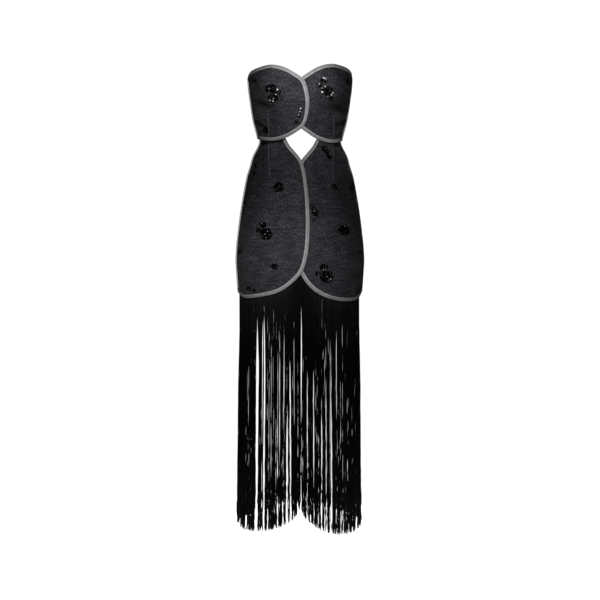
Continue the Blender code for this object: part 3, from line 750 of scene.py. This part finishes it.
def fringe_material():
    """Black twisted cord with a slight lustre; each strand's tone differs at random and is painted
    darker near each petal's centre line as painted shade.
    """
    look = Look("fringe")
    tone = look.value("tone")
    # tone: random for each strand, with painted shade near the centre line
    colour = look.ramp(tone, (0.0, (0.0008, 0.0008, 0.0009)), (0.6, (0.0125, 0.0122, 0.0128)),
                       (1.0, (0.0360, 0.0352, 0.0366)))
    twist = look.wave(look.cut(180.0, 260.0, 35.0), 0.4)
    shaded = look.maths("MULTIPLY", twist, 0.35)
    look.bump(twist, 0.0003, 0.4)
    return look.finish(("Base Color", look.blend(shaded, colour, (0.001, 0.001, 0.001))),
                       ("Roughness", look.ramp(tone, (0.0, 0.62), (1.0, 0.42))),
                       ("Specular IOR Level", 0.09))


def thread_material():
    look = Look("thread")
    colour = look.ramp(look.object_noise(900.0), (0.3, 0.050), (0.7, 0.110))
    return look.finish(("Base Color", colour), ("Roughness", 0.7), ("Specular IOR Level", 0.2))


def sequin_material():
    """Glossy black sequins, their tone varied at random, the lightest share painted as sheen."""
    look = Look("black_sequin")
    rub = look.object_noise(1400.0)
    # the lightest stop is painted sheen, standing for sequins that catch the light
    colour = look.ramp(look.value("tone"), (0.0, (0.0004, 0.0004, 0.0005)),
                       (0.8, (0.0012, 0.0012, 0.0013)), (1.0, (0.0040, 0.0040, 0.0043)))
    look.bump(rub, 0.0002, 0.15)
    return look.finish(("Base Color", colour), ("Specular IOR Level", 0.05),
                       ("Roughness", look.ramp(rub, (0.3, 0.12), (0.7, 0.26))))


def bead_material(name, bright, dim, metallic, roughness):
    """Small bead whose pale colour is a painted highlight or glint, its facets painted brighter
    and darker as painted reflections.
    """
    look = Look(name)
    facets = look.node("TexVoronoi", "Distance", ("Scale", 1100.0),
                       ("Vector", look.node("TexCoord", "Object")))
    look.bump(facets, 0.0003, 0.25)
    return look.finish(("Base Color", look.ramp(facets, (0.1, bright), (0.7, dim))),
                       ("Metallic", metallic), ("Roughness", roughness))


# ---- panels
def build_panel(petal, materials, number):
    """Denim petal as a closed shell on rings that shrink from its outline to its middle."""
    outline, (bound, seam, waist) = petal_loop(petal)
    cut = set_back(outline, [TAPE + SEAM_GAP] * bound + [SEAM_GAP / 2] * seam + [0.0] * waist)
    middle, size = cut.mean(axis=0), len(cut)
    scales = 1.0 - (np.arange(petal.rings) / petal.rings) ** RING_SPREAD
    flat = (middle + (cut[None] - middle) * scales[:, None, None]).reshape(-1, 2)
    flat = np.vstack([flat, middle[None]])
    last = (petal.rings - 1) * size
    faces = strip_faces(petal.rings, size, closed=True).tolist()
    faces += [(last + i, last + (i + 1) % size, last + size) for i in range(size)]
    layers = [place(petal, flat, CLOTH / 2), place(petal, flat, -CLOTH / 2)]
    points, faces = shell(layers, faces, range(size))
    name = petal_name(petal)
    body = mesh_object(name + "_cloth", points, faces, [materials["denim"]],
                       cut_map(petal, np.vstack([flat, flat]), number),
                       {"wear_and_highlight": np.zeros(len(points))})
    facing_out(body)
    return sewn_on(body, name)


def build_darts(petal, materials, number):
    """Low ridge where the dart is sewn, steep on one side, over the panel's outer face."""
    name = petal_name(petal)
    dense = spline(np.array([flat_point(petal, *row) for row in DARTS[name]]))
    run = lengths_along(dense)[-1]
    line = at_lengths(dense, np.linspace(0.0, run, max(8, int(run / DART_STEP))))
    along = unit(np.gradient(line, axis=0))
    side = np.stack([-along[:, 1], along[:, 0]], axis=1)
    taper = np.sqrt(np.linspace(1.0, 0.04, len(line)))[:, None]
    across, height, wear_and_highlight = np.array(DART_SECTION).T
    flats = (line[:, None] + side[:, None] * across[:, None]).reshape(-1, 2)
    # the ridge's crest and steep side are painted paler: wear together with a painted highlight
    ridge = mesh_object(name + "_darts", place(petal, flats, (CLOTH / 2 + height * taper).ravel()),
                        strip_faces(len(line), len(across)), [materials["denim"]],
                        cut_map(petal, flats, number),
                        {"wear_and_highlight": (wear_and_highlight * (0.35 + 0.65 * taper)).ravel()})
    return sewn_on(ridge)


def cut_map(petal, flats, number):
    """Map of the flat cloth in metres, with the same twill direction on every petal."""
    turn = 1.0 if petal_theta(petal, 1.0) > petal_theta(petal, 0.0) else -1.0
    return flats * np.array((turn, 1.0)) + np.array((0.37 * number, 0.61 * number))


# ---- bindings and tapes
def tape_lines(petal):
    """Edge points and inner points of the tape, cut short beside the side seams."""
    edge = bound_edge(petal)
    outline, _ = petal_loop(petal)
    inner = set_back(outline, [TAPE_WIDTH] * len(outline))[:len(edge)]
    ends = 6        # points at each end that keep the inset of the next one
    inner[:ends] = edge[:ends] + (inner[ends] - edge[ends])
    inner[-ends:] = edge[-ends:] + (inner[-1 - ends] - edge[-1 - ends])
    for end in (0, -1) if petal.waist is None else (-1,):
        free = (SEAM_TAPE_WIDTH / 2 + 2 * SEAM_GAP) / form_value(1, edge[end][1])
        for line in (edge, inner):
            line[:, 0] = np.maximum(line[:, 0], (free - math.pi / 2) * petal.flat_radius)
    return edge, inner


def build_binding(petal, materials, number):
    """Tape folded over the petal's edge, with a stitched groove along each leg."""
    edge, inner = tape_lines(petal)
    section = [*TAPE_LEG, TAPE_FOLD, *((d, -out) for d, out in reversed(TAPE_LEG))]
    flats = np.stack([edge + (inner - edge) * (d / TAPE_WIDTH) for d, _ in section], axis=1)
    outs = np.tile([out for _, out in section], len(edge))
    uvs = np.stack([np.repeat(lengths_along(edge), len(section)) + 0.43 * number,
                    np.tile(lengths_along(np.array(section)), len(edge))], axis=1)
    tape = tape_object(petal_name(petal) + "_binding", place(petal, flats.reshape(-1, 2), outs),
                       len(edge), materials["tape"], uvs, TAPE_SHELL)
    return tape, edge, inner


def build_stitches(petal, edge, inner, materials):
    """Lockstitches in the groove of each leg."""
    run = lengths_along(edge)[-1]
    starts = np.arange(0.004, run - 0.006, STITCH_PITCH)
    count = len(starts)
    sink, swell = (np.tile(each, count) for each in STITCH_SHAPE)
    where = (starts[:, None] + np.array(STITCH_STATIONS) * STITCH_LENGTH).ravel()
    groove = edge + (inner - edge) * (TAPE_GROOVE / TAPE_WIDTH)
    line = at_lengths(groove, where * lengths_along(groove)[-1] / run)
    rings = []
    for side in (1.0, -1.0):
        level = side * (GROOVE_LEVEL + TAPE_SHELL / 2 + STITCH_RADIUS * 0.4 + sink)
        centre = place(petal, line, level)
        out = unit(place(petal, line, level + side * 0.0005) - centre)
        grouped = centre.reshape(-1, 4, 3)
        along = np.repeat(unit(grouped[:, 3] - grouped[:, 0]), 4, axis=0)
        across = np.cross(out, along)
        radius = (STITCH_RADIUS * swell)[:, None]
        rings.append(np.stack([centre + across * radius * math.cos(turn)
                               + out * radius * math.sin(turn)
                               for turn in np.arange(4) * math.pi / 2], axis=1).reshape(-1, 3))
    each = np.vstack([strip_faces(4, 4, closed=True), [(3, 2, 1, 0), (12, 13, 14, 15)]])
    faces = (each + np.arange(2 * count)[:, None, None] * 16).reshape(-1, 4)
    thread = mesh_object(petal_name(petal) + "_stitches", np.vstack(rings), faces,
                         [materials["thread"]])
    facing_out(thread)
    return sewn_on(thread)


def build_side_tape(petal, materials, number):
    """Two bound edges side by side over the seam, with a groove between them."""
    low, high = bound_edge(petal)[-1][1], seam_tape_top(petal)
    rows = [(z, 0.0) for z in np.append(np.arange(low, high, 0.0050), high)]
    if petal.waist is not None:
        rows = [(low - 0.0018, -0.0022), (low - 0.0012, -0.0008)] + rows
    rows[-1] = (high, -0.0003)
    seam = -90.0 if petal.side == "right" else 90.0
    grid, uvs = [], []
    for z, shift in rows:
        wobble = 0.0003 * math.sin(210.0 * z + number) * math.sin(37.0 * z)
        for across, out in SIDE_SECTION:
            turn = math.degrees((across + wobble) / float(form_value(1, max(z, low))))
            grid.append((seam + turn, z, out + shift))
            uvs.append((z + 0.29 * number, across + 0.0052))
    theta, z, out = np.array(grid).T
    level = np.maximum(z, low)
    out = petal_offset(petal, np.full(len(z), -90.0), level) + out
    points = form_point(theta, level) + form_normal(theta, level) * out[:, None]
    points[:, 2] += z - level
    return tape_object(f"{petal.garment}_side_tape_{petal.side}", points, len(rows),
                       materials["side_tape"], uvs, SIDE_SHELL)


# ---- flowers
def turned(centre, axis, start, tip, rings, count):
    """Points and faces of a small round piece. rings: radius, height, turn of the first point."""
    side = unit(np.cross(axis, start))
    start = np.cross(side, axis)
    points = [centre + axis * tip]
    faces = [(0, 1 + k, 1 + (k + 1) % count) for k in range(count)]
    for ring, (radius, rise, phase) in enumerate(rings):
        here, before = 1 + ring * count, 1 + (ring - 1) * count
        for k in range(count):
            turn = 2 * math.pi * (k + phase) / count
            points.append(centre + (start * math.cos(turn) + side * math.sin(turn)) * radius
                          + axis * rise)
            after = (k + 1) % count
            if ring > 0:
                faces.append((before + k, here + k, here + after, before + after))
    return points, faces


def build_flowers(petal, materials, seed):
    """Scattered flowers of cupped black sequins, with small grey beads between them as painted
    highlights and near-white beads as painted glints.
    """
    dice = np.random.default_rng(seed)
    name = petal_name(petal)
    points, faces, tones_and_sheen, slots = [], [], [], []

    def add(piece, slot, tone):
        base = len(points)
        points.extend(piece[0])
        faces.extend(tuple(base + i for i in face) for face in piece[1])
        slots.extend([slot] * len(piece[1]))
        tones_and_sheen.extend([tone] * len(piece[0]))

    def frame_at(spot, towards, lift):
        """Point over the cloth, outward normal and the direction of another point."""
        lift = CLOTH / 2 + lift
        here, above, there = place(petal, np.array((spot, spot, towards)),
                                   np.array((lift, lift + 0.001, lift)))
        normal = unit(above - here)
        return here, normal, unit(there - here - normal * ((there - here) @ normal))

    def add_bead(spot, lift, radius, slot):
        rings = [(wide * radius, rise * radius, phase) for wide, rise, phase in BEAD_RINGS]
        add(turned(*frame_at(spot, spot + (0.001, 0.0), lift), radius, rings, 8), slot, 0.5)

    for reach, z, radius in FLOWERS[name]:
        heart = flat_point(petal, reach, z)
        rings = np.append(np.arange(radius - 0.0025, 0.0012, -RING_PITCH), 0.0)
        for level, ring in enumerate(rings):
            count = max(1, round(2 * math.pi * ring / SEQUIN_PITCH))
            spin = dice.uniform(0.0, 2 * math.pi)
            for k in range(count):
                turn = spin + 2 * math.pi * k / count + dice.normal(0.0, 0.06)
                off = ring + dice.normal(0.0, 0.0004)
                spot = heart + off * np.array((math.cos(turn), math.sin(turn)))
                middle, normal, inward = frame_at(
                    spot, heart + (0.0001, 0.0), 0.0008 + 0.0004 * level + 0.0005 * (k % 2))
                side = np.cross(normal, inward)
                axis = unit(normal + inward * dice.normal(0.26, 0.10)
                            + side * dice.normal(0.0, 0.14))
                size = SEQUIN_RADIUS * dice.uniform(0.86, 1.06)
                rims = ((0.55 * size, -0.55 * SEQUIN_CUP, 0.0), (size, 0.0, 0.0))
                # each sequin's tone is random; its top share gets the painted sheen
                add(turned(middle, axis, inward, -SEQUIN_CUP, rims, 9), 0,
                    dice.uniform(0.0, 1.0))
        # small grey beads between the sequins: painted highlights
        for _ in range(round(radius / BEAD_PITCH)):
            turn = dice.uniform(0.0, 2 * math.pi)
            off = (radius - 0.002) * math.sqrt(dice.uniform(0.0, 1.0))
            spot = heart + off * np.array((math.cos(turn), math.sin(turn)))
            add_bead(spot, 0.0026, dice.uniform(0.0006, 0.0010), 1)
    # near-white beads where the sequins glint: painted glints
    for reach, z, radius in GLINT_BEADS[name]:
        add_bead(flat_point(petal, reach, z), 0.0020, radius, 2)
    item = mesh_object(name + "_flowers", points, faces,
                       [materials[kind] for kind in ("sequin", "highlight_bead", "painted_glint")],
                       values={"tone": tones_and_sheen})
    item.data.polygons.foreach_set("material_index", slots)
    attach(item, "root")
    return item


# ---- fringe
def hem_heights(petal, reach):
    """Heights of the hem's lower edge at angles from the petal's centre line."""
    hem = spline(flat_rows(petal, petal.edge))
    lower = hem[hem[:, 0].argmax():][::-1]
    return np.interp(np.radians(reach) * petal.flat_radius, lower[:, 0], lower[:, 1])


def gap_shift(theta, t):
    """Sideways shift of strands where the fringe parts."""
    shift = np.zeros(np.broadcast(theta, t).shape)
    for centre, start, early, late, end in GAPS:
        width = np.interp(t, (start, max(0.35, start + 0.10), max(0.7, start + 0.2), 1.0),
                          (0.0, early if start < 0.35 else 0.0, late if start < 0.7 else 0.0, end))
        away = np.radians((theta - centre + 180.0) % 360.0 - 180.0) * HEM_RADIUS
        shift += np.sign(away) * width / 2 * np.exp(-np.abs(away) / GAP_REACH)
    return shift


def build_fringe(petal, materials, seed):
    """Many thin strands that hang from inside the hem, in locks that part unevenly."""
    dice = np.random.default_rng(seed)
    end = FRINGE_ENDS["over" if petal.over else "under"] - 0.2
    reach = np.linspace(FRINGE_SEAM_END, end, STRANDS) + dice.normal(0.0, 0.09, STRANDS)
    reach = np.clip(reach, FRINGE_SEAM_END, end)
    theta = petal_theta(petal, reach)
    hem = hem_heights(petal, reach)
    flats = np.stack([np.radians(reach) * petal.flat_radius, hem], axis=1)
    offset = petal_offset(petal, reach, hem) + relief(petal, flats) - FRINGE_INSET
    offset = offset + dice.uniform(-0.0004, 0.0004, STRANDS)
    root = form_point(theta, hem) + form_normal(theta, hem) * offset[:, None]
    root[:, 2] = hem + FRINGE_STRIP_TOP - 0.001
    tip = root * np.array((FRINGE_FLARE, FRINGE_FLARE, 1.0))
    tip[:, 2] = hem - FRINGE_LENGTH + np.abs(dice.normal(0.0, 0.0046, STRANDS))
    stray = dice.random(STRANDS) < 0.06
    tip[:, 2] += np.where(stray, dice.uniform(0.006, 0.040, STRANDS), 0.0)

    turn = np.radians(theta)
    along = np.stack([np.cos(turn), np.sin(turn), np.zeros(STRANDS)], axis=1)
    out = np.stack([np.sin(turn), -np.cos(turn), np.zeros(STRANDS)], axis=1)
    sizes = dice.integers(5, 15, STRANDS)
    lock = np.repeat(np.arange(STRANDS), sizes)[:STRANDS]
    pull = dice.uniform(0.02, 0.26, STRANDS)[lock]
    sway = dice.normal(0.0, 0.0009, STRANDS)[lock] + dice.normal(0.0, 0.0005, STRANDS)
    depth = dice.normal(0.0, 0.0022, STRANDS)[lock] + dice.normal(0.0, 0.0012, STRANDS)
    loose = np.random.default_rng(seed + 500)
    follow = np.where(loose.random(STRANDS) < 0.11, loose.uniform(0.0, 0.7, STRANDS), 1.0)
    arc = turn * HEM_RADIUS
    heart = (np.bincount(lock, arc) / np.maximum(np.bincount(lock), 1))[lock]

    t = (1.0 - (1.0 - np.linspace(0.0, 1.0, STRAND_STATIONS)) ** 1.2)[None, :]
    kinks = (dice.normal(0.0, 1.0, (STRANDS, STRAND_STATIONS, 2))
             + 0.8 * dice.normal(0.0, 1.0, (STRANDS, STRAND_STATIONS, 2))[lock])
    kinks *= (smooth_step(0.0, 0.15, t) * (0.00016 + 0.00062 * t ** 4))[..., None]
    line = root[:, None, :] + (tip - root)[:, None, :] * t[..., None]
    shift = gap_shift(theta[:, None], t) * follow[:, None] + kinks[..., 0]
    shift += (heart - arc)[:, None] * pull[:, None] * smooth_step(0.06, 0.8, t)
    shift += sway[:, None] * t
    line += along[:, None, :] * shift[..., None]
    swell = depth[:, None] * smooth_step(0.02, 0.4, t) + kinks[..., 1]
    line += out[:, None, :] * swell[..., None]
    beside = smooth_step(0.06, 0.16, np.abs(line[..., 0]))
    trim = np.where(line[..., 0] > 0.0, np.interp(t, *LEFT_TRIM), np.interp(t, *RIGHT_TRIM))
    line[..., 0] -= np.sign(line[..., 0]) * beside * trim

    turn = 2 * math.pi * np.arange(STRAND_SIDES) / STRAND_SIDES
    spin = dice.uniform(0.0, 2 * math.pi, STRANDS)[:, None] + turn
    ring = np.stack([np.cos(spin), np.sin(spin), 0.0 * spin], axis=-1)
    radius = STRAND_RADIUS * dice.uniform(0.8, 1.25, STRANDS)
    fray = 1.0 + 0.55 * smooth_step(0.72, 0.96, t[0])
    fray[-1] = 0.7
    points = (line[:, :, None, :] + ring[:, None, :, :]
              * (radius[:, None] * fray)[:, :, None, None]).reshape(-1, 3)
    each = STRAND_STATIONS * STRAND_SIDES
    first = (np.arange(STRANDS) * each)[:, None]
    quads = strip_faces(STRAND_STATIONS, STRAND_SIDES, closed=True)
    faces = (quads + first[:, None]).reshape(-1, 4).tolist()
    cap = np.arange(STRAND_SIDES)
    faces += (cap[::-1] + first).tolist() + (cap + each - STRAND_SIDES + first).tolist()
    # random strand tone times a painted shade that darkens the strands near each petal's centre
    # line
    tone = dice.beta(2.0, 3.2, STRANDS) * (1.0 - 0.90 * np.exp(-(reach / 24.0) ** 2))
    uvs = np.stack([np.tile(np.tile(turn / 40.0, STRAND_STATIONS), STRANDS),
                    points[:, 2]], axis=1)
    name = f"fringe_{petal.face}_{petal.side}"
    item = mesh_object(name + "_strands", points, faces, [materials["fringe"]], uvs,
                       {"tone": np.repeat(tone, each)})
    facing_out(item)
    return sewn_on(item, name)


def main():
    materials = {
        "denim": denim_material(),
        # binding bands: painted highlight over the outer raised band, painted shade in the
        # stitched groove and at the edges
        "tape": tape_material("binding_tape", 0.262, (
            (0.00, 0.92), (0.03, 1.10), (0.16, 1.10), (0.185, 0.62), (0.215, 0.62),
            (0.25, 0.92), (0.40, 0.90), (0.47, 0.90), (0.85, 1.0))),
        # side tape bands: painted highlight over both raised crowns, painted shade in the middle
        # groove and at the edges
        "side_tape": tape_material("side_binding_tape", 0.200, (
            (0.00, 0.90), (0.06, 1.08), (0.14, 1.08), (0.19, 0.55), (0.225, 0.55),
            (0.28, 1.08), (0.36, 1.08), (0.42, 0.90))),
        "fringe": fringe_material(),
        "thread": thread_material(),
        "sequin": sequin_material(),
        # pale beads: grey ones as painted highlights, near-white ones as painted glints
        "highlight_bead": bead_material("grey_highlight_bead", 0.34, 0.10, 0.3, 0.20),
        "painted_glint": bead_material("painted_glint_bead", 0.95, 0.70, 0.0, 0.12),
    }
    for number, petal in enumerate(make_petals()):
        panel = build_panel(petal, materials, number)
        darts = build_darts(petal, materials, number)
        tape, edge, inner = build_binding(petal, materials, number)
        stitches = build_stitches(petal, edge, inner, materials)
        flowers = build_flowers(petal, materials, 40 + number)
        if petal.garment == "skirt":
            build_fringe(petal, materials, 70 + number)
        if petal.face == "front":
            side = build_side_tape(petal, materials, number)
        run = float(lengths_along(place(petal, edge))[-1])


# ---- floor, light and camera
FLOOR_LEVEL = -1.20
FLOOR_RADIUS = 0.7
# Square lamps: name, place, aim, size, power.
LAMPS = (
    ("key", (-0.75, -3.3, 0.75), (0.0, 0.0, -0.30), 0.9, 3.0),
    ("fill", (0.85, -3.3, 0.25), (0.0, 0.0, -0.40), 0.9, 2.0),
    ("spark", (-0.35, -2.6, 1.5), (0.0, 0.0, 0.0), 0.12, 3.0),
    ("spark_low", (0.8, -2.7, 0.2), (0.0, 0.0, -0.2), 0.10, 2.0),
    ("back", (0.3, 3.4, 0.8), (0.0, 0.0, -0.35), 1.5, 80.0),
)
# Pools of soft light that fade to their rims: name, place, aim, angle, radius, power.
SPOTS = (
    ("bust_light", (-0.15, -2.50, 1.78), (-0.002, 0.0, 0.106), 5.6, 0.06, 480.0),
    ("hip_light", (-0.15, -2.75, 1.50), (0.010, 0.0, -0.045), 6.6, 0.06, 195.0),
    ("hem_light", (-0.35, -2.80, 1.35), (-0.018, 0.0, -0.395), 8.0, 0.08, 415.0),
)


def add_light(name, kind, place_at, target, power, **settings):
    """Light that looks at a target. settings: the light's own values."""
    light = bpy.data.lights.new(name, kind)
    light.energy = power
    for key, value in settings.items():
        setattr(light, key, value)
    item = bpy.data.objects.new(name, light)
    item.location = place_at
    away = np.array(target) - np.array(place_at)
    item.rotation_euler = (math.pi / 2 + math.atan2(away[2], math.hypot(away[0], away[1])),
                           0.0, -math.atan2(away[0], away[1]))
    bpy.context.scene.collection.objects.link(item)


def studio():
    scene = bpy.context.scene
    scene.view_settings.view_transform = "Standard"
    scene.world = bpy.data.worlds.new("studio")
    scene.world.use_nodes = True
    nodes, links = scene.world.node_tree.nodes, scene.world.node_tree.links
    nodes.clear()
    either = nodes.new("ShaderNodeMixShader")
    for socket, strength in ((1, 0.05), (2, 1.05)):     # round the dress, seen behind it
        shade = nodes.new("ShaderNodeBackground")
        shade.inputs["Color"].default_value = (1.0, 1.0, 1.0, 1.0)
        shade.inputs["Strength"].default_value = strength
        links.new(shade.outputs["Background"], either.inputs[socket])
    path = nodes.new("ShaderNodeLightPath")
    links.new(path.outputs["Is Camera Ray"], either.inputs["Fac"])
    output = nodes.new("ShaderNodeOutputWorld")
    links.new(either.outputs["Shader"], output.inputs["Surface"])

    material = Look("pale_floor").finish(
        ("Base Color", (0.92, 0.92, 0.92)), ("Roughness", 0.9),
        ("Emission Color", (1.0, 1.0, 1.0)), ("Emission Strength", 1.05))
    turn = np.linspace(0.0, 2 * math.pi, 97)[:-1]
    rim = [(FLOOR_RADIUS * math.cos(a), FLOOR_RADIUS * math.sin(a), FLOOR_LEVEL) for a in turn]
    floor = mesh_object("floor", rim, [range(len(rim))], [material])
    floor.visible_diffuse = False
    for name, spot, target, size, power in LAMPS:
        add_light(name, "AREA", spot, target, power, shape="SQUARE", size=size)
    for name, spot, target, degrees, radius, power in SPOTS:
        add_light(name, "SPOT", spot, target, power, spot_size=math.radians(degrees),
                  spot_blend=1.0, shadow_soft_size=radius)

    lens = bpy.data.cameras.new("camera")
    lens.lens = 72.857
    lens.sensor_width = 36.0
    camera = bpy.data.objects.new("camera", lens)
    camera.location = (-0.12459, -3.39772, -0.1652)
    camera.rotation_euler = (math.radians(90.0 - 4.7079), 0.0, math.radians(-2.1))
    scene.collection.objects.link(camera)
    scene.camera = camera


main()
studio()
